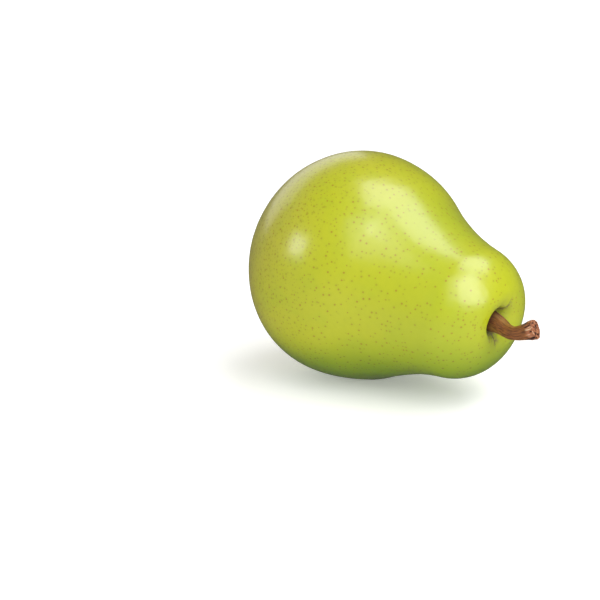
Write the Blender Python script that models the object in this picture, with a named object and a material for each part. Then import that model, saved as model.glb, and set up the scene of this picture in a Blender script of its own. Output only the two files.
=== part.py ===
"""A whole pear lying on its side: the fruit, its woody stem, and the dried calyx at the blossom end.

Every piece is shaped in the pear's own growing frame, with +X along the core from the blossom end
to the stem and -Z towards the side it lies on. An empty then lays that frame down, so that the pear
rests on a small flat spot under its belly, and the middle of that spot is the origin of the part.
"""

import math

import bmesh
import bpy
from mathutils import Matrix, Vector

MM = 0.001

# The outline of the fruit: a belly ball and a neck ball, joined by a hollow flank that touches both.
BELLY_RADIUS = 37.0 * MM
NECK_RADIUS = 22.0 * MM
NECK_ALONG_CORE = 42.1 * MM
FLANK_RADIUS = 72.0 * MM
BLOSSOM_DEPTH = 33.3 * MM  # belly centre to the blossom end, a little flatter than the ball
STEM_END_FLATTER = 3.1 * MM  # how much shorter the stem end is than the neck ball
STEM_END_ONSET = 1.16  # how early the flattening begins: 1 from the flank on, 2 mostly at the end
NECK_SWAY = 1.2 * MM  # sideways lean of the core where the neck ball is centred

# The hollow round the stem and the basin round the calyx: each is a wide dip with a narrow well.
STEM_DIP_DEPTH = 2.6 * MM
STEM_DIP_WIDTH = 7.0 * MM
STEM_WELL_DEPTH = 4.4 * MM
STEM_WELL_RADIUS = 3.7 * MM
STEM_HOLLOW_ASIDE = -2.8 * MM  # the hollow is not in the middle of the stem end: the shoulder on
STEM_HOLLOW_RAISE = 2.9 * MM  # one side and below is the fleshier one
CALYX_DIP_DEPTH = 4.5 * MM
CALYX_DIP_WIDTH = 8.5 * MM
CALYX_WELL_DEPTH = 2.2 * MM
CALYX_WELL_RADIUS = 2.9 * MM

# How it lies: the core slopes down to the stem, and the fruit is a little fuller where it rests.
CORE_SLOPE = math.radians(9.0)
FULLER_BY = 1.8 * MM
FULLER_ALONG_CORE = 18.0 * MM
FULLER_LENGTH = 8.0 * MM
FULLER_SPREAD = math.radians(16.0)
FULLER_TURN = math.radians(6.0)
BELLY_CENTRE = (-3.5 * MM, -0.5 * MM, 36.8 * MM)  # above the floor, seen from the resting spot

# The stem: a woody rod that leaves its well, bends, and ends in the thick scar where it was picked.
# Each station is (along core, aside, up, radius) in millimetres.
STEM_STATIONS = (
    (54.9, -0.4, 2.8, 2.1),
    (57.0, -0.8, 2.9, 2.35),
    (60.4, -2.1, 2.9, 2.15),
    (63.8, -3.4, 2.85, 2.0),
    (66.7, -4.0, 3.3, 1.95),
    (69.2, -3.95, 4.2, 2.0),
    (71.2, -3.5, 5.4, 2.2),
    (72.9, -2.85, 6.35, 2.5),
)
STEM_BETWEEN = 3  # rings per stretch between two stations
STEM_SCAR = 1.0 * MM  # the rounded length past the last station

# A sepal: a dried lobe that stands in the calyx well and curls out over the basin.
# Each station is (along core, from the core, width) in millimetres.
SEPAL_ROOT = 1.45
SEPAL_STATIONS = (
    (-27.2, SEPAL_ROOT, 1.1),
    (-28.5, 1.6, 1.4),
    (-29.9, 2.15, 2.0),
    (-31.1, 3.1, 2.3),
    (-31.9, 4.2, 1.8),
    (-32.3, 5.2, 0.9),
    (-32.4, 5.9, 0.35),
)
SEPAL_THICKNESS = 0.45 * MM
SEPAL_CURL = (1.0, 0.86, 1.08, 0.93, 1.12)  # how far each of the five reaches

# The tuft of dried styles in the middle of the calyx.
# Each station is (along core, radius) in millimetres.
TUFT_STATIONS = ((-27.1, 0.55), (-28.6, 0.8), (-30.2, 0.95), (-31.6, 0.85), (-32.4, 0.45))
TUFT_RIDGES = 5

FRUIT_SEGMENTS = 56
STEM_SEGMENTS = 18
SEPAL_SEGMENTS = 10
TUFT_SEGMENTS = 20


def paint(piece, name, colour, roughness):
    """Gives the piece a Principled material of its own."""
    material = bpy.data.materials.new(name)
    material.use_nodes = True
    shader = material.node_tree.nodes["Principled BSDF"]
    shader.inputs["Base Color"].default_value = (*colour, 1.0)
    shader.inputs["Roughness"].default_value = roughness
    shader.inputs["Metallic"].default_value = 0.0
    piece.data.materials.append(material)


def dip(radius, depth, width):
    """A bell-shaped dip: full depth on the core, fading out over its width."""
    return depth * math.exp(-((radius / width) ** 2))


def well(radius, depth, mouth):
    """A steep-sided well: full depth inside its mouth, nothing outside it."""
    return depth / (1.0 + (radius / mouth) ** 8)


def steps(start, end, count):
    """Evenly spaced values from start to end, both included."""
    return [start + (end - start) * i / (count - 1) for i in range(count)]


def blossom_point(radius):
    """The outline's (along core, radius) pair at a radius on the blossom side."""
    x = -BLOSSOM_DEPTH * math.sqrt(max(0.0, 1.0 - (radius / BELLY_RADIUS) ** 2))
    x += dip(radius, CALYX_DIP_DEPTH, CALYX_DIP_WIDTH)
    x += well(radius, CALYX_WELL_DEPTH, CALYX_WELL_RADIUS)
    return x, radius


def stem_end_point(radius, start):
    """The outline's (along core, radius) pair at a radius on the stem end, which begins at start:
    the neck ball, pressed flatter towards the stem."""
    ball = NECK_RADIUS * math.sqrt(max(0.0, 1.0 - (radius / NECK_RADIUS) ** 2))
    share = (NECK_ALONG_CORE + ball - start) / (NECK_ALONG_CORE + NECK_RADIUS - start)
    x = NECK_ALONG_CORE + ball - STEM_END_FLATTER * max(0.0, share) ** STEM_END_ONSET
    x -= dip(radius, STEM_DIP_DEPTH, STEM_DIP_WIDTH)
    x -= well(radius, STEM_WELL_DEPTH, STEM_WELL_RADIUS)
    return x, radius


def outline():
    """The fruit's half outline as (along core, radius) pairs, from the blossom end to the stem end."""
    to_belly = BELLY_RADIUS + FLANK_RADIUS
    to_neck = NECK_RADIUS + FLANK_RADIUS
    flank_x = (to_belly**2 - to_neck**2 + NECK_ALONG_CORE**2) / (2 * NECK_ALONG_CORE)
    flank_y = math.sqrt(to_belly**2 - flank_x**2)
    belly_end = math.atan2(flank_y, flank_x)
    neck_start = math.atan2(flank_y, flank_x - NECK_ALONG_CORE)

    pairs = [blossom_point(mm * MM) for mm in (0.0, 1.4, 2.1, 2.6, 3.0, 3.5, 4.4, 6.1, 8.5, 11.2, 14.2)]
    for angle in steps(math.radians(152.0), math.radians(90.0), 9)[:-1]:
        pairs.append(blossom_point(BELLY_RADIUS * math.sin(angle)))
    for angle in steps(math.radians(90.0), belly_end, 7):
        pairs.append((BELLY_RADIUS * math.cos(angle), BELLY_RADIUS * math.sin(angle)))
    for angle in steps(belly_end, neck_start, 8)[1:-1]:
        pairs.append((flank_x - FLANK_RADIUS * math.cos(angle), flank_y - FLANK_RADIUS * math.sin(angle)))
    start = NECK_ALONG_CORE + NECK_RADIUS * math.cos(neck_start)
    for angle in steps(neck_start, math.radians(28.0), 9):
        pairs.append(stem_end_point(NECK_RADIUS * math.sin(angle), start))
    for mm in (8.6, 7.0, 5.8, 5.0, 4.4, 3.9, 3.4, 2.8, 1.6, 0.0):
        pairs.append(stem_end_point(mm * MM, start))
    return pairs


def shape_fruit(point):
    """Moves a point of the turned shape to its place on the real one, which isn't quite round."""
    radius = math.hypot(point.y, point.z)
    turn = math.atan2(point.y, -point.z) - FULLER_TURN
    fuller = FULLER_BY * math.exp(-(((point.x - FULLER_ALONG_CORE) / FULLER_LENGTH) ** 2))
    fuller *= math.exp(-((turn / FULLER_SPREAD) ** 2))
    grown = (radius + fuller) / radius if radius > 0 else 1.0
    sway = NECK_SWAY * (max(point.x, 0.0) / NECK_ALONG_CORE) ** 2
    near = (1.0 - (radius / NECK_RADIUS) ** 2) ** 3 if point.x > NECK_ALONG_CORE else 0.0
    aside = sway + near * STEM_HOLLOW_ASIDE
    return Vector((point.x, point.y * grown + aside, point.z * grown + near * STEM_HOLLOW_RAISE))


def lying_frame():
    """The empty that lays the growing frame down on the floor, over the flat spot."""
    empty = bpy.data.objects.new("lying_frame", None)
    bpy.context.collection.objects.link(empty)
    empty.matrix_world = Matrix.Translation(BELLY_CENTRE) @ Matrix.Rotation(CORE_SLOPE, 4, "Y")
    return empty


def add_piece(name, bm, frame):
    """Links a finished bmesh as a named piece of the pear, smooth, and carried by the lying frame."""
    bmesh.ops.recalc_face_normals(bm, faces=bm.faces)
    mesh = bpy.data.meshes.new(name)
    bm.to_mesh(mesh)
    bm.free()
    mesh.shade_smooth()
    piece = bpy.data.objects.new(name, mesh)
    bpy.context.collection.objects.link(piece)
    piece.parent = frame
    return piece


def close_rings(bm, rings):
    """Joins rings of points, one after another, and closes both ends."""
    loops = [[bm.verts.new(point) for point in ring] for ring in rings]
    for first, second in zip(loops, loops[1:]):
        for i in range(len(first)):
            k = (i + 1) % len(first)
            bm.faces.new((first[i], first[k], second[k], second[i]))
    bm.faces.new(loops[0])
    bm.faces.new(loops[-1])


def make_fruit(frame):
    """Turns the outline about the core, shapes it, and cuts the small flat spot it rests on."""
    bm = bmesh.new()
    verts = [bm.verts.new((x, 0.0, radius)) for x, radius in outline()]
    edges = [bm.edges.new(pair) for pair in zip(verts, verts[1:])]
    bmesh.ops.spin(
        bm,
        geom=verts + edges,
        cent=(0, 0, 0),
        axis=(1, 0, 0),
        angle=math.tau,
        steps=FRUIT_SEGMENTS,
    )
    bmesh.ops.remove_doubles(bm, verts=bm.verts, dist=0.00001)
    for vert in bm.verts:
        vert.co = shape_fruit(vert.co)
    to_growing = frame.matrix_world.inverted()
    cut = bmesh.ops.bisect_plane(
        bm,
        geom=list(bm.verts) + list(bm.edges) + list(bm.faces),
        plane_co=to_growing @ Vector((0, 0, 0)),
        plane_no=to_growing.to_3x3() @ Vector((0, 0, -1)),
        clear_outer=True,
    )
    rim = [item for item in cut["geom_cut"] if isinstance(item, bmesh.types.BMEdge)]
    bmesh.ops.contextual_create(bm, geom=rim)
    fruit = add_piece("fruit", bm, frame)
    paint(fruit, "pear_skin", (0.42, 0.52, 0.06), 0.35)


def curve_through(before, start, end, after, share):
    """A point of the smooth curve through four neighbouring stations, between the middle two."""
    doubled = 2 * start + share * (end - before)
    doubled += share**2 * (2 * before - 5 * start + 4 * end - after)
    doubled += share**3 * (3 * start - before - 3 * end + after)
    return doubled / 2


def stem_rings():
    """Circles square to the stem's bent middle line, ending in the rounded scar."""
    stations = [Vector(station) * MM for station in STEM_STATIONS]
    stations = [2 * stations[0] - stations[1]] + stations + [2 * stations[-1] - stations[-2]]
    line = []
    for i in range(1, len(stations) - 2):
        for share in steps(0.0, 1.0, STEM_BETWEEN + 1)[:-1]:
            line.append(curve_through(*stations[i - 1 : i + 3], share))
    line.append(stations[-2])
    last = line[-1]
    end = (last.xyz - line[-2].xyz).normalized()
    for share, slim in ((0.6, 0.93), (1.0, 0.72)):
        line.append(Vector((*(last.xyz + end * STEM_SCAR * share), last.w * slim)))

    rings = []
    for i, point in enumerate(line):
        ahead = line[min(i + 1, len(line) - 1)].xyz - line[max(i - 1, 0)].xyz
        side = ahead.cross(Vector((0, 0, 1))).normalized()
        top = side.cross(ahead).normalized()
        ring = []
        for j in range(STEM_SEGMENTS):
            turn = math.tau * j / STEM_SEGMENTS
            ring.append(point.xyz + point.w * (side * math.cos(turn) + top * math.sin(turn)))
        rings.append(ring)
    return rings


def make_stem(frame):
    bm = bmesh.new()
    close_rings(bm, stem_rings())
    stem = add_piece("stem", bm, frame)
    paint(stem, "stem_wood", (0.20, 0.09, 0.04), 0.6)


def make_sepal(number, frame):
    """One dried lobe: flat ovals along a line that rises in the calyx well and curls outwards."""
    curl = SEPAL_CURL[number - 1]
    turn = Matrix.Rotation(math.tau * (number - 0.5) / len(SEPAL_CURL), 3, "X")
    line = []
    for x, radius, width in SEPAL_STATIONS:
        line.append(Vector((x, SEPAL_ROOT + (radius - SEPAL_ROOT) * curl, width)) * MM)
    rings = []
    for i, (x, radius, width) in enumerate(line):
        ahead = (line[min(i + 1, len(line) - 1)] - line[max(i - 1, 0)]).xy.normalized()
        ring = []
        for j in range(SEPAL_SEGMENTS):
            angle = math.tau * j / SEPAL_SEGMENTS
            thick = min(SEPAL_THICKNESS, width) / 2 * math.sin(angle)
            point = Vector((x - ahead.y * thick, width / 2 * math.cos(angle), radius + ahead.x * thick))
            ring.append(turn @ point)
        rings.append(ring)
    bm = bmesh.new()
    close_rings(bm, rings)
    sepal = add_piece(f"sepal_{number}", bm, frame)
    paint(sepal, f"dry_sepal_{number}", (0.16, 0.10, 0.05), 0.8)


def make_tuft(frame):
    """The withered styles: a ridged bundle standing in the middle of the calyx."""
    rings = []
    for x, radius in TUFT_STATIONS:
        ring = []
        for j in range(TUFT_SEGMENTS):
            turn = math.tau * j / TUFT_SEGMENTS
            reach = radius * MM * (0.88 + 0.12 * math.cos(TUFT_RIDGES * turn))
            ring.append(Vector((x * MM, reach * math.cos(turn), reach * math.sin(turn))))
        rings.append(ring)
    bm = bmesh.new()
    close_rings(bm, rings)
    tuft = add_piece("style_tuft", bm, frame)
    paint(tuft, "dry_styles", (0.10, 0.06, 0.03), 0.85)


def main():
    for old in list(bpy.data.objects):
        bpy.data.objects.remove(old)
    frame = lying_frame()
    make_fruit(frame)
    make_stem(frame)
    for number in range(1, len(SEPAL_CURL) + 1):
        make_sepal(number, frame)
    make_tuft(frame)


main()
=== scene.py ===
import math

import bpy
import numpy as np
from mathutils import Matrix, Vector


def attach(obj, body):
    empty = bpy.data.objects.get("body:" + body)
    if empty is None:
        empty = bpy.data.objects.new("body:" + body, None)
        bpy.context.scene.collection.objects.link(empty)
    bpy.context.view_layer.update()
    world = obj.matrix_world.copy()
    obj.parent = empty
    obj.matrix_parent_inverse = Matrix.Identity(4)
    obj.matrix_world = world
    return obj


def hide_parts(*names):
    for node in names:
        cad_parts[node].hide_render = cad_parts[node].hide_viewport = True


# A pear lying on its side. Lengths are in millimetres until a piece is built, and angles in radians.
MM = 0.001

# The outline of the fruit, measured along its core from the middle of the belly.
BELLY_RADIUS = 37.0
NECK_RADIUS = 22.0
NECK_ALONG = 42.1
FLANK_RADIUS = 72.0
BLOSSOM_DEPTH = 33.3
STEM_END_FLATTER = 3.1
STEM_END_ONSET = 1.16
NECK_SWAY = 1.2
HOLLOW_ASIDE = -2.8
HOLLOW_RAISE = 2.9
CORE_SLOPE = math.radians(9.0)
BELLY_CENTRE = (-3.5, -0.5, 36.8)

# Two places where the underside is fuller: in front of the resting spot, and on the hollow flank.
FULLER_BY = 1.8
FULLER_ALONG = 18.0
FULLER_LENGTH = 8.0
FULLER_SPREAD = math.radians(16.0)
FULLER_TURN = math.radians(6.0)
FLANK_BY = 1.25
FLANK_ALONG = 25.5
FLANK_LENGTH = 9.5
FLANK_SPREAD = math.radians(28.0)
FLANK_TURN = math.radians(-18.0)

# The view: from the stem's side, a little above the table.
CAMERA_TURN = math.radians(43.0)
CAMERA_LIFT = math.radians(18.0)
CAMERA_DISTANCE = 666.0
CAMERA_ASIDE = 18.5
CAMERA_ABOVE = 11.75
LENS = 123.1

# The stem's middle line: along the core, aside, up, and how thick it is.
STEM_STATIONS = np.array(
    [
        (53.6, -2.0, 2.9, 3.45),
        (55.0, -2.1, 2.95, 3.45),
        (57.2, -2.15, 3.0, 3.3),
        (60.4, -2.45, 3.05, 2.75),
        (63.8, -3.3, 2.95, 2.25),
        (66.7, -4.0, 3.35, 2.12),
        (69.2, -3.95, 4.25, 2.2),
        (71.4, -3.4, 5.5, 2.5),
        (73.6, -2.6, 7.0, 3.0),
    ]
)


def smooth_step(low, high, value):
    """Nothing below low, one above high, and a smooth S between them."""
    share = np.clip((value - low) / (high - low), 0.0, 1.0)
    return share * share * (3.0 - 2.0 * share)


def bell(value, width):
    """The bell curve: one at nothing, fading on both sides over that width."""
    return np.exp(-((value / width) ** 2))


def grain(points, size, seed):
    """Smooth noise from -1 to 1. Each corner of a cubic lattice of that size has a random value, and
    a point takes the S-curve blend of the eight corners round it."""
    scaled = points / size + 31.7 * seed
    corner = np.floor(scaled).astype(np.int64)
    share = scaled - corner
    share = share * share * (3.0 - 2.0 * share)
    total = np.zeros(points.shape[:-1])
    for number in range(8):
        step = np.array([number & 1, number >> 1 & 1, number >> 2 & 1])
        key = (corner + step) * np.array([73856093, 19349663, 83492791])
        mixed = (key[..., 0] ^ key[..., 1] ^ key[..., 2] ^ (seed * 7919)) & 0xFFFFFFFF
        mixed = ((mixed ^ (mixed >> 15)) * 2246822519) & 0xFFFFFFFF
        mixed = ((mixed ^ (mixed >> 13)) * 3266489917) & 0xFFFFFFFF
        value = (mixed ^ (mixed >> 16)) / 2147483648.0 - 1.0
        weight = np.where(step == 1, share, 1.0 - share).prod(-1)
        total += value * weight
    return total


def rough(points, size, layers, seed):
    """Noise in layers, each of half the size and half the strength of the one before."""
    total = 0.0
    for layer in range(layers):
        total = total + grain(points, size / 2**layer, seed + layer) / 2**layer
    return total


def outward(points):
    """The unit normal at every point of closed rings, from the slopes along and round them."""
    along = np.gradient(points, axis=-3)
    around = np.roll(points, -1, -2) - np.roll(points, 1, -2)
    normal = np.cross(along, around)
    normal /= np.linalg.norm(normal, axis=-1, keepdims=True) + 1e-12
    middle = points.mean(-2, keepdims=True)
    facing = ((points - middle) * normal).sum((-3, -2, -1), keepdims=True)
    return normal * np.where(facing < 0, -1.0, 1.0)


def lay_down(points):
    """From the growing frame to the table: the core slopes down to the stem, and the belly's middle
    stands at its height above the resting spot."""
    x, y, z = points[..., 0], points[..., 1], points[..., 2]
    cos, sin = math.cos(CORE_SLOPE), math.sin(CORE_SLOPE)
    laid = np.stack([x * cos + z * sin, y, z * cos - x * sin], -1)
    return laid + np.array(BELLY_CENTRE)


def build_piece(name, shells, values, material, node, chart=None):
    """Makes one piece from shells of closed rings, an array of shells by rings by points. Each shell
    is closed at both ends with a middle point, and each named value becomes an attribute. A chart
    gives the corners of one shell's faces a pair of coordinates, by rings by one more than points."""
    shell_count, rings, around = shells.shape[:3]
    body = shells.reshape(-1, 3)
    tips = shells[:, [0, -1]].mean(2).reshape(-1, 3)
    corner = np.arange(body.shape[0]).reshape(shell_count, rings, around)
    beside = np.roll(corner, -1, 2)
    quads = np.stack([corner[:, :-1], corner[:, 1:], beside[:, 1:], beside[:, :-1]], -1).reshape(-1, 4)
    tip = body.shape[0] + np.arange(2 * shell_count).reshape(shell_count, 2, 1)
    first = np.broadcast_to(tip[:, 0], corner[:, 0].shape)
    last = np.broadcast_to(tip[:, 1], corner[:, 0].shape)
    start_fans = np.stack([first, corner[:, 0], beside[:, 0]], -1).reshape(-1, 3)
    end_fans = np.stack([last, beside[:, -1], corner[:, -1]], -1).reshape(-1, 3)
    points = np.concatenate([body, tips])

    pairs = []
    if chart is not None:
        here, there = chart[:, :-1], chart[:, 1:]
        half = (here + there) / 2
        quad_pairs = np.stack([here[:-1], here[1:], there[1:], there[:-1]], 2)
        start_pairs = np.stack([half[0], here[0], there[0]], 1)
        end_pairs = np.stack([half[-1], there[-1], here[-1]], 1)
        pairs = [quad_pairs.reshape(-1, 4, 2), start_pairs, end_pairs]

    middle = shells[0].mean(1, keepdims=True)
    normal = np.cross(np.gradient(shells[0], axis=0), np.roll(shells[0], -1, 1) - shells[0])
    if ((shells[0] - middle) * normal).sum() < 0:
        quads, start_fans, end_fans = quads[:, ::-1], start_fans[:, ::-1], end_fans[:, ::-1]
        pairs = [pair[:, ::-1] for pair in pairs]

    mesh = bpy.data.meshes.new(name)
    faces = quads.tolist() + start_fans.tolist() + end_fans.tolist()
    mesh.from_pydata((points * MM).tolist(), [], faces)
    mesh.shade_smooth()
    for key, value in values.items():
        value = np.broadcast_to(value, shells.shape[:3] + value.shape[3:])
        ends = value[:, [0, -1]].mean(2)
        if value.ndim == 4:
            flat = np.concatenate([value.reshape(-1, 3), ends.reshape(-1, 3)])
            attribute = mesh.attributes.new(key, "FLOAT_VECTOR", "POINT")
            attribute.data.foreach_set("vector", flat.astype(np.float32).ravel())
        else:
            flat = np.concatenate([value.ravel(), ends.ravel()])
            attribute = mesh.attributes.new(key, "FLOAT", "POINT")
            attribute.data.foreach_set("value", flat.astype(np.float32))
    if pairs:
        flat = np.concatenate([pair.reshape(-1, 2) for pair in pairs])
        attribute = mesh.attributes.new("chart", "FLOAT2", "CORNER")
        attribute.data.foreach_set("vector", flat.astype(np.float32).ravel())
    mesh.materials.append(material)
    piece = bpy.data.objects.new(name, mesh)
    bpy.context.scene.collection.objects.link(piece)
    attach(piece, "root")
    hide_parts(node)
    return piece


# ------------------------------------------------------------------------------------- the fruit

FRUIT_RINGS = 300
FRUIT_AROUND = 320
CALYX_DIP = (4.5, 8.5)
CALYX_WELL = (2.2, 2.9)
STEM_DIP = (3.7, 6.6)
STEM_WELL_DEPTH = 5.0
NEAR_RIM_TURN = math.radians(250.0)
FOLD_TURN = math.radians(150.0)
FURROW_TURN = math.radians(-4.0)
RUSSET_TURN = math.radians(-38.0)
GREEN_TURN = math.radians(175.0)
MOUTH_RADIUS = 3.0
MOUTH_WIDER = 2.6
LIP_HEIGHT = 0.30
FOLD_RIDGE = 0.4
FOLD_DEPTH = 0.55
FURROW_DEPTH = 0.4
PUCKER_HEIGHT = 0.10
LOBE_HEIGHT = 0.5
SWELL_HEIGHT = 0.20
FINE_HEIGHT = 0.018


def fruit_outline(rings):
    """Along the core and out from it, from the blossom end to the stem end: the belly's arc, pressed
    a little flat at the blossom end, then the hollow flank's arc, then the neck's arc, pressed flat
    towards the stem. The rings crowd together near both ends, where the detail is."""
    to_belly = BELLY_RADIUS + FLANK_RADIUS
    to_neck = NECK_RADIUS + FLANK_RADIUS
    flank_x = (to_belly**2 - to_neck**2 + NECK_ALONG**2) / (2 * NECK_ALONG)
    flank_y = math.sqrt(to_belly**2 - flank_x**2)
    belly_end = math.atan2(flank_y, flank_x)
    neck_start = math.atan2(flank_y, flank_x - NECK_ALONG)

    turn = np.linspace(math.pi - 0.004, belly_end, 900)
    belly_x = BELLY_RADIUS * np.cos(turn)
    belly_x = np.where(belly_x < 0, belly_x * BLOSSOM_DEPTH / BELLY_RADIUS, belly_x)
    turn_f = np.linspace(belly_end, neck_start, 300)[1:-1]
    turn_n = np.linspace(neck_start, 0.006, 900)
    neck_x = NECK_ALONG + NECK_RADIUS * np.cos(turn_n)
    share = (neck_x - neck_x[0]) / (NECK_ALONG + NECK_RADIUS - neck_x[0])
    neck_x = neck_x - STEM_END_FLATTER * share**STEM_END_ONSET

    x = np.concatenate([belly_x, flank_x - FLANK_RADIUS * np.cos(turn_f), neck_x])
    flank_out = flank_y - FLANK_RADIUS * np.sin(turn_f)
    out = np.concatenate([BELLY_RADIUS * np.sin(turn), flank_out, NECK_RADIUS * np.sin(turn_n)])
    step = np.hypot(np.diff(x), np.diff(out))
    middle_out = (out[1:] + out[:-1]) / 2
    middle_x = (x[1:] + x[:-1]) / 2
    crowd = 1.0 + np.where(middle_x > NECK_ALONG, 5.5, 1.5) * bell(middle_out, 6.5)
    reach = np.concatenate([[0.0], np.cumsum(step * crowd)])
    even = np.linspace(0.0, reach[-1], rings)
    return np.interp(even, reach, x), np.interp(even, reach, out)


def turn_from(turn, target):
    """The signed angle from a target turn, between half a turn back and half a turn on."""
    return (turn - target + math.pi) % (2 * math.pi) - math.pi


def stem_mouth(turn):
    """How far round towards its open side a place on the hollow's rim is, from 0 to 1, and the
    radius of the hollow's mouth there."""
    open_side = 0.5 + 0.5 * np.cos(turn - NEAR_RIM_TURN)
    uneven = 0.12 * np.cos(3 * turn + 0.4)
    return open_side, MOUTH_RADIUS + MOUTH_WIDER * open_side**1.5 + uneven


def creases(out, turn):
    """The fold above the stem and the furrow below it: for each, how many millimetres beside it a
    place is, and how much of it reaches there."""
    fold_reach = smooth_step(2.0, 3.4, out) * smooth_step(10.5, 4.5, out)
    fold_side = turn_from(turn, FOLD_TURN + 0.05 * np.sin(out * 0.9)) * out
    furrow_reach = smooth_step(2.2, 3.6, out) * smooth_step(10.0, 4.0, out)
    furrow_side = turn_from(turn, FURROW_TURN + 0.06 * np.sin(out * 1.1)) * out
    return fold_side, fold_reach, furrow_side, furrow_reach


def carve_ends(x, out, turn):
    """The place along the core after both ends are carved: a wide dip with a steep well in it at
    each end, and at the stem a rim with a lip, a fold, a furrow and fine puckers."""
    calyx = CALYX_DIP[0] * bell(out, CALYX_DIP[1])
    calyx = calyx + CALYX_WELL[0] / (1.0 + (out / CALYX_WELL[1]) ** 8)

    open_side, mouth = stem_mouth(turn)
    well = STEM_WELL_DEPTH / (1.0 + (out / mouth) ** (4.0 + 8.0 * open_side))
    hollow = STEM_DIP[0] * bell(out, STEM_DIP[1]) + well
    lip = LIP_HEIGHT * bell(out - mouth - 1.3, 1.0) * open_side
    fold_side, fold_reach, furrow_side, furrow_reach = creases(out, turn)
    fold = (FOLD_RIDGE * bell(fold_side - 1.2, 0.9) - FOLD_DEPTH * bell(fold_side, 0.42)) * fold_reach
    furrow = -FURROW_DEPTH * bell(furrow_side, 0.6) * furrow_reach
    puckers = PUCKER_HEIGHT * np.sin(9 * turn + 1.3 * np.sin(2 * turn)) * bell(out - 4.6, 2.0)

    along = x + np.where(x < 0, calyx, 0.0)
    return along + np.where(x > NECK_ALONG, lip + fold + furrow + puckers - hollow, 0.0)


def skin_chart(x, out):
    """The chart of the skin: the turn, and a rise that grows by each step's length over its distance
    from the core, so that small shapes on the chart keep their form on the skin."""
    step = np.hypot(np.diff(x[:, 0]), np.diff(out[:, 0]))
    middle_out = np.maximum((out[1:, 0] + out[:-1, 0]) / 2, 0.8)
    rise = np.concatenate([[0.0], np.cumsum(step / middle_out)])
    seam_turn = np.linspace(0.0, 2 * math.pi, FRUIT_AROUND + 1)[None, :]
    return np.stack(np.broadcast_arrays(seam_turn, rise[:, None]), -1)


def stem_russet(out, turn):
    """Russet beside the stem: along the fold, in streaks down the furrow, and on the mouth's rim."""
    fold_side, fold_reach, furrow_side, furrow_reach = creases(out, turn)
    spokes = np.stack(np.broadcast_arrays(5.0 * np.cos(turn), 5.0 * np.sin(turn), 0.3 * out), -1)
    streaks = 0.55 + 0.5 * rough(spokes, 0.9, 2, 23)
    beside_fold = bell(fold_side - 0.3, 1.3) * fold_reach
    beside_furrow = bell(furrow_side, 1.5) * furrow_reach
    below = bell(turn_from(turn, RUSSET_TURN), 0.55) * furrow_reach
    rim = bell(out - stem_mouth(turn)[1], 0.7)
    return 0.9 * beside_fold + 1.5 * (beside_furrow + 0.9 * below) * streaks + 0.8 * rim


def skin_values(x, out, turn, grown, height):
    """What the skin's finish reads at every point, each from 0 to 1 but for the girth: russet,
    crowded dots, the painted shade of the darker green underside, green, tan, the distance from
    the core, and where dots may stand, which is away from both ends and from the chart's seam."""
    speckle = 0.5 + 0.5 * rough(grown, 2.2, 3, 21)
    russet = np.where(x > NECK_ALONG, stem_russet(out, turn) * (0.35 + 0.9 * speckle), 0.0)
    russet = russet + np.where(x < 0, bell(out, 6.0) * (0.45 + 0.8 * speckle), 0.0)
    # Painted shade: the skin turns darker green the lower it stands above the table, reaching higher
    # on the neck.
    uneven_height = height + 3.0 * rough(grown, 18.0, 2, 14)
    painted_shade = smooth_step(27.0, 4.0, uneven_height - 4.0 * smooth_step(25.0, 60.0, x))
    green_top = bell(x - 29.0, 11.0) * bell(turn_from(turn, GREEN_TURN), 0.55)
    green = 0.24 + 0.46 * smooth_step(-8.0, 45.0, x) + 0.5 * green_top
    green = green + 0.24 * rough(grown, 24.0, 2, 17)
    return {
        "russet": np.clip(russet, 0.0, 1.0)[None],
        "crowd": (smooth_step(26.0, -24.0, x) + 0.0 * turn)[None],
        "painted_shade": painted_shade[None],
        "green": np.clip(green, 0.0, 1.0)[None],
        "tanned": smooth_step(6.0, -24.0, x + 4.0 * rough(grown, 9.0, 2, 19))[None],
        "girth": (out + 0.0 * turn)[None],
        "clear": np.clip(out * np.abs(turn_from(turn, 0.0)) / 0.8, 0.0, 1.0)[None],
    }


def make_fruit(material):
    """Turns the outline about the core, carves both ends, makes the underside fuller, and lifts the
    skin by five soft lobes round the calyx, a slow swell and a fine unevenness."""
    x, out = (value[:, None] for value in fruit_outline(FRUIT_RINGS))
    turn = np.linspace(0.0, 2 * math.pi, FRUIT_AROUND, endpoint=False)[None, :]
    along = carve_ends(x, out, turn)

    fuller = FULLER_BY * bell(x - FULLER_ALONG, FULLER_LENGTH)
    fuller = fuller * bell(turn_from(turn, FULLER_TURN), FULLER_SPREAD)
    flank = FLANK_BY * bell(x - FLANK_ALONG, FLANK_LENGTH)
    fuller = fuller + flank * bell(turn_from(turn, FLANK_TURN), FLANK_SPREAD)
    near_core = np.clip(1.0 - (out / NECK_RADIUS) ** 2, 0.0, 1.0) ** 3
    near = np.where(x > NECK_ALONG, near_core, 0.0)
    sway = NECK_SWAY * (np.maximum(x, 0.0) / NECK_ALONG) ** 2
    aside = (out + fuller) * np.sin(turn) + sway + near * HOLLOW_ASIDE
    up = -(out + fuller) * np.cos(turn) + near * HOLLOW_RAISE
    grown = np.stack([along, aside, up], -1)

    lobes = LOBE_HEIGHT * np.cos(5 * turn + 0.5) * bell(out - 9.0, 5.0) * (x < 0)
    swell = SWELL_HEIGHT * rough(grown, 26.0, 2, 3)
    fine = FINE_HEIGHT * rough(grown, 1.5, 2, 9)
    grown = grown + outward(grown) * (lobes + swell + fine)[..., None]
    placed = lay_down(grown)
    placed[..., 2] = np.maximum(placed[..., 2], 0.0)

    values = skin_values(x, out, turn, grown, placed[..., 2])
    chart = skin_chart(x, out)
    return build_piece("fruit_skin", placed[None], values, material, "fruit", chart)


# -------------------------------------------------------------------------------------- the stem

STEM_RINGS = 330
STEM_SCAR_RINGS = 60
STEM_AROUND = 150


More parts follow.
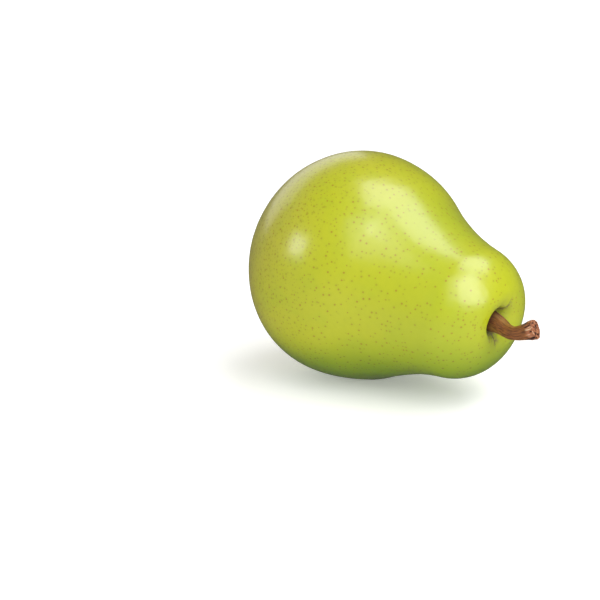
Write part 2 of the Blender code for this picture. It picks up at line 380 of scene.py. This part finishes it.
def through(stations, share):
    """Points of the smooth curve that passes through the stations, for shares from 0 to 1: between
    two stations, the cubic that also heads for the ones before and after."""
    before, after = 2 * stations[0] - stations[1], 2 * stations[-1] - stations[-2]
    padded = np.concatenate([[before], stations, [after]])
    place = np.clip(share, 0.0, 1.0) * (len(stations) - 1)
    i = np.minimum(place.astype(int), len(stations) - 2)
    f = (place - i)[:, None]
    a, b, c, d = (padded[i + k] for k in range(4))
    return b + 0.5 * f * (c - a + f * (2 * a - 5 * b + 4 * c - d + f * (3 * (b - c) + d - a)))


def sweep(line, shape):
    """Rings square to a line: each ring's points are shape away from it, shape being an array of
    rings by points by (side, top) offsets."""
    ahead = np.gradient(line, axis=0)
    ahead /= np.linalg.norm(ahead, axis=-1, keepdims=True)
    side = np.cross(ahead, np.array([0.0, 0.0, 1.0]))
    side /= np.linalg.norm(side, axis=-1, keepdims=True)
    top = np.cross(side, ahead)
    return line[:, None] + shape[..., :1] * side[:, None] + shape[..., 1:] * top[:, None]


def make_stem(material):
    """Sweeps a ridged round along the stem's middle line, then folds the rings inwards over the end
    to make the torn scar: a ragged rim, pits and splinters, from layered noise."""
    share = np.linspace(0.0, 1.0, STEM_RINGS)
    stations = through(STEM_STATIONS, share)
    line, thick = stations[:, :3], stations[:, 3:]
    step = np.linalg.norm(np.diff(line, axis=0), axis=1)
    length = np.concatenate([[0.0], np.cumsum(step)])[:, None]
    turn = np.linspace(0.0, 2 * math.pi, STEM_AROUND, endpoint=False)[None, :]
    knob = smooth_step(0.80, 0.97, share)[:, None]

    unrolled = np.stack(np.broadcast_arrays(2.0 * np.cos(turn), 2.0 * np.sin(turn), length / 11.0), -1)
    ridges = 0.035 * rough(unrolled, 0.7, 3, 5)
    lumps = 0.16 * rough(unrolled * np.array([1.0, 1.0, 3.0]), 2.4, 2, 6)
    torn = 0.30 * knob * rough(unrolled * np.array([1.0, 1.0, 4.0]), 1.0, 3, 7)
    reach = thick * (1.0 + ridges + 0.5 * lumps) + torn
    shape = np.stack([reach * np.cos(turn), reach * np.sin(turn)], -1)
    rings = sweep(line, shape)

    inward = np.linspace(1.0, 0.03, STEM_SCAR_RINGS)[1:, None]
    ahead = line[-1] - line[-2]
    ahead = ahead / np.linalg.norm(ahead)
    face = line[-1] + (rings[-1] - line[-1]) * inward[..., None]
    flat = face + 5.0
    bulge = 0.75 * np.sqrt(1.0 - inward**2) * (1.0 - 0.35 * (1.0 - inward))
    height = bulge + 0.42 * (1.0 - inward**6) * rough(flat, 1.1, 3, 11)
    scar = face + height[..., None] * ahead
    grown = np.concatenate([rings, scar])

    count = len(grown)
    ones = np.ones((count, STEM_AROUND))
    place = np.concatenate([length, length[-1] + 1.4 * (1.0 - inward)]) * ones
    fibre = np.concatenate([unrolled, np.concatenate([scar, scar[..., :0]], -1) * 0.55])
    rawness = np.concatenate([knob * ones[:STEM_RINGS], ones[STEM_RINGS:]])
    values = {
        "fibre": fibre[None],
        "stem_along": place[None],
        "raw": rawness[None],
    }
    return build_piece("stem_bark", lay_down(grown)[None], values, material, "stem")


# ------------------------------------------------------------------------------------- the calyx

SEPAL_RINGS = 90
SEPAL_AROUND = 48
SEPAL_STATIONS = np.array(
    [
        (-26.9, 1.45, 1.2),
        (-28.4, 1.6, 1.5),
        (-29.9, 2.15, 2.15),
        (-31.1, 3.1, 2.5),
        (-31.9, 4.2, 1.9),
        (-32.3, 5.2, 0.95),
        (-32.35, 6.0, 0.18),
    ]
)
SEPAL_CURL = (1.0, 0.86, 1.08, 0.93, 1.12)
STAMENS = 22


def make_sepal(number, material):
    """A withered lobe: flat ovals along a line that rises in the well and curls out over the basin,
    cupped across its width, with a crinkled edge and a raised rib down the middle."""
    curl = SEPAL_CURL[number - 1]
    line = through(SEPAL_STATIONS, np.linspace(0.0, 1.0, SEPAL_RINGS))
    share = np.linspace(0.0, 1.0, SEPAL_RINGS)[:, None]
    x, out, width = line[:, :1], 1.45 + (line[:, 1:2] - 1.45) * curl, line[:, 2:3]
    turn = np.linspace(0.0, 2 * math.pi, SEPAL_AROUND, endpoint=False)[None, :]
    across = np.sign(np.cos(turn)) * np.abs(np.cos(turn)) ** 0.8
    thick = np.minimum(0.40, 0.6 * width) / 2 * np.sin(turn)
    flat = np.stack(np.broadcast_arrays(across * width, 0.0 * turn + number * 9.0, 6.0 * share), -1)
    crinkle = 0.22 * share * np.abs(across) * rough(flat, 1.4, 2, 30 + number)
    cup = 0.30 * across**2 * smooth_step(0.1, 0.5, share) * width / 2
    rib = 0.07 * bell(across, 0.18) * (np.sin(turn) < 0)
    twist = 0.25 * math.sin(2.4 * number) * share**2
    lift = crinkle + cup - rib
    slope = np.gradient(np.concatenate([x, out], 1), axis=0)
    slope = slope / np.linalg.norm(slope, axis=1, keepdims=True)
    offset = thick + lift
    along = x - slope[:, 1:] * offset
    away = out - slope[:, :1] * offset
    beside = width / 2 * across * (1.0 + 0.10 * rough(flat, 0.9, 2, 50 + number)) + twist * away
    grown = np.stack(np.broadcast_arrays(along, beside, away), -1)
    lean = 2 * math.pi * (number - 0.5) / len(SEPAL_CURL) + 0.06 * math.sin(3.0 * number)
    cos, sin = math.cos(lean), math.sin(lean)
    y, z = grown[..., 1], grown[..., 2]
    grown = np.stack([grown[..., 0], y * cos - z * sin, y * sin + z * cos], -1)
    vein = np.stack(np.broadcast_arrays(across * width, 0.2 * turn, 1.2 * share), -1)
    values = {"fibre": vein[None], "tip": (share + 0.0 * turn)[None]}
    name = f"sepal_leaf_{number}"
    return build_piece(name, lay_down(grown)[None], values, material, f"sepal_{number}")


def make_tuft(material):
    """The dried stamens and styles: thin threads that rise from the well's floor in a loose ring,
    each bent its own way and ending in a small dark bead, round a thicker middle one."""
    rings, around = 26, 10
    number = np.arange(STAMENS)[:, None, None]
    share = np.linspace(0.0, 1.0, rings)[None, :, None]
    turn = np.linspace(0.0, 2 * math.pi, around, endpoint=False)[None, None, :]
    golden = 2.39996 * number
    ring = np.where(number < 5, 0.22, 0.75 + 0.15 * np.sin(5.1 * number))
    tall = 4.3 + 1.1 * np.sin(3.7 * number) - 0.8 * (number < 5)
    spread = ring * (1.0 + 0.7 * share) + 0.18 * np.sin(4.0 * share + 2.0 * number) * share
    swirl = golden + 0.8 * share * np.sin(1.9 * number)
    thread = 0.085 + 0.05 * (number < 5) + 0.11 * bell(share - 0.95, 0.05) + 0.04 * (1.0 - share)
    thread = thread * np.sqrt(np.clip((1.02 - share) / 0.06, 0.0, 1.0))
    x = -26.9 - tall * share
    y = spread * np.cos(swirl) + thread * np.cos(turn)
    z = spread * np.sin(swirl) + thread * np.sin(turn)
    grown = np.stack(np.broadcast_arrays(x, y, z), -1)
    values = {"tip": np.broadcast_to(share, grown.shape[:3])}
    return build_piece("calyx_tuft", lay_down(grown), values, material, "style_tuft")


# ----------------------------------------------------------------------------------- the finishes


class Finish:
    """A material with its Principled shader, and short ways to add the nodes that feed it."""

    def __init__(self, name, roughness, **constants):
        self.material = bpy.data.materials.new(name)
        self.material.use_nodes = True
        self.tree = self.material.node_tree
        self.shader = self.tree.nodes["Principled BSDF"]
        self.shader.inputs["Roughness"].default_value = roughness
        for key, value in constants.items():
            self.shader.inputs[key.replace("_", " ")].default_value = value
        self.place = self.add("ShaderNodeTexCoord").outputs["Object"]

    def add(self, kind, **settings):
        node = self.tree.nodes.new(kind)
        for key, value in settings.items():
            setattr(node, key, value)
        return node

    def put(self, socket, value):
        if isinstance(value, bpy.types.NodeSocket):
            self.tree.links.new(value, socket)
        elif value is not None:
            socket.default_value = value

    def attribute(self, name, output="Fac"):
        return self.add("ShaderNodeAttribute", attribute_name=name).outputs[output]

    def math(self, operation, first, second):
        node = self.add("ShaderNodeMath", operation=operation)
        for socket, value in zip(node.inputs, (first, second)):
            self.put(socket, value)
        return node.outputs[0]

    def noise(self, size, detail, place=None, roughness=0.5):
        """Layered noise whose blobs are about that many millimetres across, from 0 to 1."""
        node = self.add("ShaderNodeTexNoise")
        self.put(node.inputs["Vector"], place or self.place)
        node.inputs["Scale"].default_value = 1.0 / (size * MM) if place is None else 1.0 / size
        node.inputs["Detail"].default_value = detail
        node.inputs["Roughness"].default_value = roughness
        return node.outputs["Fac"]

    def range(self, value, low, high, to_low=0.0, to_high=1.0):
        """Maps low..high smoothly to to_low..to_high, and holds both ends."""
        node = self.add("ShaderNodeMapRange", interpolation_type="SMOOTHSTEP")
        for socket, entry in zip(node.inputs, (value, low, high, to_low, to_high)):
            self.put(socket, entry)
        return node.outputs[0]

    def mix(self, share, first, second):
        node = self.add("ShaderNodeMix", data_type="RGBA")
        self.put(node.inputs["Factor"], share)
        for socket, value in ((node.inputs[6], first), (node.inputs[7], second)):
            self.put(socket, (*value, 1.0) if isinstance(value, tuple) else value)
        return node.outputs[2]

    def dots(self, fineness, keep, small, large, shift):
        """Scattered round dots on the chart of turn and rise, which keeps small shapes true: cells of
        a random point each, so many to a radian. A dot is kept where its first random value is under
        keep, and its radius lies between small and large millimetres. Returns how much of a dot a
        place is, how much of the ring round one, and the random values."""
        place = self.add("ShaderNodeVectorMath", operation="MULTIPLY_ADD")
        self.put(place.inputs[0], self.attribute("chart", "Vector"))
        place.inputs[1].default_value = (fineness, fineness, 0.0)
        place.inputs[2].default_value = (shift, 0.7 * shift, 0.0)
        node = self.add("ShaderNodeTexVoronoi", feature="F1", voronoi_dimensions="2D")
        self.put(node.inputs["Vector"], place.outputs[0])
        node.inputs["Scale"].default_value = 1.0
        node.inputs["Randomness"].default_value = 0.85
        split = self.add("ShaderNodeSeparateColor")
        self.put(split.inputs[0], node.outputs["Color"])
        to_length = self.math("DIVIDE", self.attribute("girth"), fineness)
        far = self.math("MULTIPLY", node.outputs["Distance"], to_length)
        reach = self.range(split.outputs[2], 0.0, 1.0, small, large)
        kept = self.math("LESS_THAN", split.outputs[0], keep)
        kept = self.math("MULTIPLY", kept, self.attribute("clear"))
        share = self.range(far, self.math("MULTIPLY", reach, 0.45), reach, 1.0, 0.0)
        ring = self.range(far, reach, self.math("MULTIPLY", reach, 2.4), 1.0, 0.0)
        return self.math("MULTIPLY", share, kept), self.math("MULTIPLY", ring, kept), split

    def bump(self, height, strength, distance, after=None):
        node = self.add("ShaderNodeBump")
        node.inputs["Strength"].default_value = strength
        node.inputs["Distance"].default_value = distance * MM
        self.put(node.inputs["Height"], height)
        self.put(node.inputs["Normal"], after)
        return node.outputs[0]

    def finish(self, colour, roughness=None, normal=None):
        self.put(self.shader.inputs["Base Color"], colour)
        self.put(self.shader.inputs["Roughness"], roughness)
        self.put(self.shader.inputs["Normal"], normal)
        return self.material


DOT_FINENESS = 14.8
DOTS_PER_AREA = 0.16
FINE_DOT_FINENESS = 27.0
FINE_DOTS_PER_AREA = 1.0


def skin_finish():
    """Waxy yellow-green skin, tanned towards the calyx, with painted shade of darker green below and
    small brown breathing dots in two sizes, darker in the painted shade, the finer ones crowded
    towards the calyx, and grey-brown russet in the folds beside the stem and round the calyx."""
    wax = {"Coat_Weight": 0.92, "Coat_IOR": 1.7, "Coat_Roughness": 0.25}
    f = Finish("pear_skin", 0.50, Specular_IOR_Level=0.28, **wax)
    patch = f.noise(9.0, 3.0)
    mottle = f.noise(1.6, 3.0)
    tan = (0.50, 0.40, 0.08)
    yellow, green, painted_shade = (0.488, 0.478, 0.003), (0.378, 0.445, 0.004), (0.165, 0.278, 0.003)
    patched, mottled = (0.365, 0.445, 0.005), (0.330, 0.37, 0.006)
    colour = f.mix(f.attribute("green"), yellow, green)
    colour = f.mix(f.range(patch, 0.48, 0.70, 0.0, 0.30), colour, patched)
    # Painted shade: the underside turns darker green by its height above the table.
    colour = f.mix(f.attribute("painted_shade"), colour, painted_shade)
    tanning = f.math("MULTIPLY", f.attribute("tanned"), f.range(mottle, 0.3, 0.7, 0.38, 0.72))
    colour = f.mix(tanning, colour, tan)
    colour = f.mix(f.range(mottle, 0.35, 0.75, 0.0, 0.14), colour, mottled)

    crowd, russet, shade = f.attribute("crowd"), f.attribute("russet"), f.attribute("painted_shade")
    girth = f.attribute("girth")
    area = f.math("MULTIPLY", girth, girth)
    sparse = f.math("MULTIPLY", area, DOTS_PER_AREA / DOT_FINENESS**2)
    dense = f.math("MULTIPLY", area, FINE_DOTS_PER_AREA / FINE_DOT_FINENESS**2)
    dense = f.math("MULTIPLY", dense, f.math("POWER", crowd, 1.3))
    layers = (
        (0.70, f.dots(FINE_DOT_FINENESS, dense, 0.17, 0.31, 3.0)),
        (0.88, f.dots(DOT_FINENESS, sparse, 0.25, 0.46, 11.0)),
    )
    pits = 0.0
    for strength, (dot, ring, random) in layers:
        # Painted shade on the dots: orange-brown on the upper skin, dark olive-brown where the
        # underside's painted shade lies.
        warm = f.mix(random.outputs[1], (0.31, 0.225, 0.003), (0.38, 0.215, 0.003))
        painted_shade_dot = f.mix(random.outputs[1], (0.10, 0.12, 0.004), (0.16, 0.12, 0.006))
        tone = f.mix(f.range(shade, 0.0, 0.7, 0.15, 0.9), warm, painted_shade_dot)
        depth = f.range(random.outputs[1], 0.0, 1.0, 0.55 * strength, strength)
        colour = f.mix(f.math("MULTIPLY", ring, 0.12 * strength), colour, (0.27, 0.33, 0.004))
        colour = f.mix(f.math("MULTIPLY", dot, depth), colour, tone)
        pits = f.math("MAXIMUM", dot, pits)
    grey = f.mix(f.noise(1.0, 2.0), (0.13, 0.095, 0.032), (0.27, 0.20, 0.075))
    patchy = f.range(f.noise(0.8, 3.0), 0.3, 0.7, 0.5, 1.4)
    worn = f.range(f.math("MULTIPLY", russet, patchy), 0.10, 1.00, 0.0, 0.85)
    colour = f.mix(worn, colour, grey)

    roughness = f.range(mottle, 0.2, 0.8, 0.44, 0.54)
    roughness = f.math("ADD", roughness, f.math("MULTIPLY", worn, 0.25))
    normal = f.bump(f.noise(0.9, 2.0), 0.10, 0.12)
    normal = f.bump(f.math("SUBTRACT", 1.0, pits), 0.25, 0.06, normal)
    return f.finish(colour, roughness, normal)


def bark_finish():
    """Red-brown bark with fibres along the stem, with painted shade where it leaves the fruit and
    olive in patches, turning to torn coppery wood with cream flecks and painted shade in its pits at
    the scar."""
    f = Finish("stem_bark", 0.5, Specular_IOR_Level=0.4)
    fibre, along, raw = f.attribute("fibre", "Vector"), f.attribute("stem_along"), f.attribute("raw")
    thread = f.noise(0.2, 4.0, fibre, 0.6)
    cloud = f.noise(1.5, 2.0, fibre)
    bark = f.mix(f.range(thread, 0.3, 0.7), (0.060, 0.018, 0.005), (0.29, 0.098, 0.020))
    bark = f.mix(f.range(cloud, 0.50, 0.72, 0.0, 0.60), bark, (0.29, 0.150, 0.020))
    # Painted shade: the bark darkens where the stem leaves the fruit and sits in its hollow.
    bark = f.mix(f.range(along, 3.5, 9.0, 0.80, 0.0), bark, (0.030, 0.007, 0.004))
    chip = f.noise(0.5, 3.0, fibre, 0.65)
    # Painted shade in the scar's pits: the dark wood lies where the bump below sinks.
    wood = f.mix(f.range(chip, 0.42, 0.52), (0.030, 0.009, 0.005), (0.36, 0.125, 0.050))
    wood = f.mix(f.range(chip, 0.60, 0.68), wood, (0.66, 0.46, 0.28))
    ragged = f.math("ADD", raw, f.range(cloud, 0.3, 0.7, -0.3, 0.3))
    colour = f.mix(f.range(ragged, 0.25, 0.8), bark, wood)
    normal = f.bump(thread, 0.5, 0.15)
    normal = f.bump(f.math("MULTIPLY", chip, raw), 0.9, 0.4, normal)
    return f.finish(colour, f.range(thread, 0.2, 0.8, 0.62, 0.42), normal)


# Dark and pale between the veins, and the colour of the tip.
SEPAL_COLOURS = ((0.07, 0.035, 0.015), (0.22, 0.13, 0.06), (0.05, 0.03, 0.02))
STAMEN_COLOURS = ((0.05, 0.025, 0.012), (0.16, 0.09, 0.04), (0.03, 0.015, 0.01))


def withered_finish(name, dark, pale, tip_colour):
    """Withered calyx: brown with fine veins, paler or darker towards the tip."""
    f = Finish(name, 0.8, Specular_IOR_Level=0.3)
    vein = f.noise(0.45, 4.0, None, 0.6)
    colour = f.mix(f.range(vein, 0.3, 0.7), dark, pale)
    colour = f.mix(f.range(f.attribute("tip"), 0.55, 1.0, 0.0, 0.8), colour, tip_colour)
    return f.finish(colour, f.range(vein, 0.2, 0.8, 0.9, 0.7), f.bump(vein, 0.6, 0.15))


# ------------------------------------------------------------------------------- table and lights


def view_axes():
    """The camera's right, up and back directions."""
    turn, lift = CAMERA_TURN, CAMERA_LIFT
    right = Vector((math.cos(turn), math.sin(turn), 0.0))
    back = Vector((math.sin(turn) * math.cos(lift), -math.cos(turn) * math.cos(lift), math.sin(lift)))
    return right, back.cross(right), back


# The table, in metres, and how bright it and the room are.
TABLE_HALF = 3.0
TABLE_BELOW = 0.0001
TABLE_WHITE = 0.93
TABLE_GLOW = 0.27
ROOM_LIGHT = 0.50
ROOM_MIRRORED = 0.09

# The soft boxes: name, direction (right, up, back), distance, width and height in metres, watts.
SOFT_BOXES = (
    ("overhead_box", (0.40, 0.89, 0.22), 2.4, 1.5, 1.7, 26.0),
    ("front_box", (0.22, 0.42, 0.88), 0.42, 0.34, 0.34, 0.42),
    ("neck_box", (0.47, 0.29, 0.84), 0.257, 0.15, 0.20, 0.26),
    ("left_box", (-0.87, 0.26, 0.42), 2.4, 0.7, 0.7, 8.0),
    ("back_box", (-0.40, 0.60, -0.70), 2.4, 2.4, 1.4, 10.0),
)


def make_table():
    """A plain pale table top that runs past the edge of the view. It glows a little, which lightens
    the pear's shadow, and it stays out of the skin's reflections."""
    mesh = bpy.data.meshes.new("table_top")
    half, low = TABLE_HALF, -TABLE_BELOW
    corners = [(-half, -half, low), (half, -half, low), (half, half, low), (-half, half, low)]
    mesh.from_pydata(corners, [], [(0, 1, 2, 3)])
    table = bpy.data.objects.new("table_top", mesh)
    bpy.context.scene.collection.objects.link(table)
    material = bpy.data.materials.new("table_white")
    material.use_nodes = True
    shader = material.node_tree.nodes["Principled BSDF"]
    shader.inputs["Base Color"].default_value = (TABLE_WHITE, TABLE_WHITE, TABLE_WHITE, 1.0)
    shader.inputs["Emission Color"].default_value = (1.0, 1.0, 1.0, 1.0)
    shader.inputs["Emission Strength"].default_value = TABLE_GLOW
    shader.inputs["Roughness"].default_value = 0.9
    shader.inputs["Specular IOR Level"].default_value = 0.1
    mesh.materials.append(material)
    table.visible_glossy = False


def soft_light(name, direction, distance, width, height, watts):
    """A rectangular soft box, seen from the pear in a direction given as the camera's right, up and
    back, and turned to face the pear."""
    right, up, back = view_axes()
    way = (right * direction[0] + up * direction[1] + back * direction[2]).normalized()
    data = bpy.data.lights.new(name, "AREA")
    data.shape = "RECTANGLE"
    data.size, data.size_y = width, height
    data.energy = watts
    lamp = bpy.data.objects.new(name, data)
    lamp.location = Vector(BELLY_CENTRE) * MM + way * distance
    lamp.rotation_mode = "QUATERNION"
    lamp.rotation_quaternion = way.to_track_quat("Z", "Y")
    bpy.context.scene.collection.objects.link(lamp)


def make_world(strength, mirrored):
    """An even pale room, which lights the scene with one strength and shows in gloss with another,
    so that the skin's sheen comes from the soft boxes."""
    world = bpy.data.worlds.new("pale_room")
    world.use_nodes = True
    tree = world.node_tree
    sky = tree.nodes["Background"]
    sky.inputs["Color"].default_value = (1.0, 1.0, 1.0, 1.0)
    path = tree.nodes.new("ShaderNodeLightPath")
    level = tree.nodes.new("ShaderNodeMath")
    level.operation = "MULTIPLY_ADD"
    tree.links.new(path.outputs["Is Glossy Ray"], level.inputs[0])
    level.inputs[1].default_value = mirrored - strength
    level.inputs[2].default_value = strength
    tree.links.new(level.outputs[0], sky.inputs["Strength"])
    bpy.context.scene.world = world


def make_camera():
    """The main view, aimed a little beside and above the belly's middle so that the pear stands
    right of the middle of the frame."""
    right, up, back = view_axes()
    data = bpy.data.cameras.new("view")
    data.lens = LENS
    data.sensor_width = 36.0
    data.clip_start, data.clip_end = 0.02, 20.0
    camera = bpy.data.objects.new("view", data)
    place = Vector(BELLY_CENTRE) + back * CAMERA_DISTANCE - right * CAMERA_ASIDE - up * CAMERA_ABOVE
    turned = Matrix((right, up, back)).transposed().to_4x4()
    camera.matrix_world = Matrix.Translation(place * MM) @ turned
    bpy.context.scene.collection.objects.link(camera)
    bpy.context.scene.camera = camera


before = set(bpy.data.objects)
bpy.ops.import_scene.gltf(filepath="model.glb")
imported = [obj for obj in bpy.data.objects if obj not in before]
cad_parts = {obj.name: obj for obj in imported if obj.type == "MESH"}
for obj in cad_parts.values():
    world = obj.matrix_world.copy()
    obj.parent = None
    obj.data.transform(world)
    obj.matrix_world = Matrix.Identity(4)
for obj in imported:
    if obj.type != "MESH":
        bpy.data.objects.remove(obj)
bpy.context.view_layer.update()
make_fruit(skin_finish())
make_stem(bark_finish())
sepal_material = withered_finish("dry_sepal", *SEPAL_COLOURS)
for sepal_number in range(1, len(SEPAL_CURL) + 1):
    make_sepal(sepal_number, sepal_material)
make_tuft(withered_finish("dry_stamen", *STAMEN_COLOURS))
make_table()
make_world(ROOM_LIGHT, ROOM_MIRRORED)
for soft_box in SOFT_BOXES:
    soft_light(*soft_box)
make_camera()
bpy.context.scene.view_settings.view_transform = "Standard"
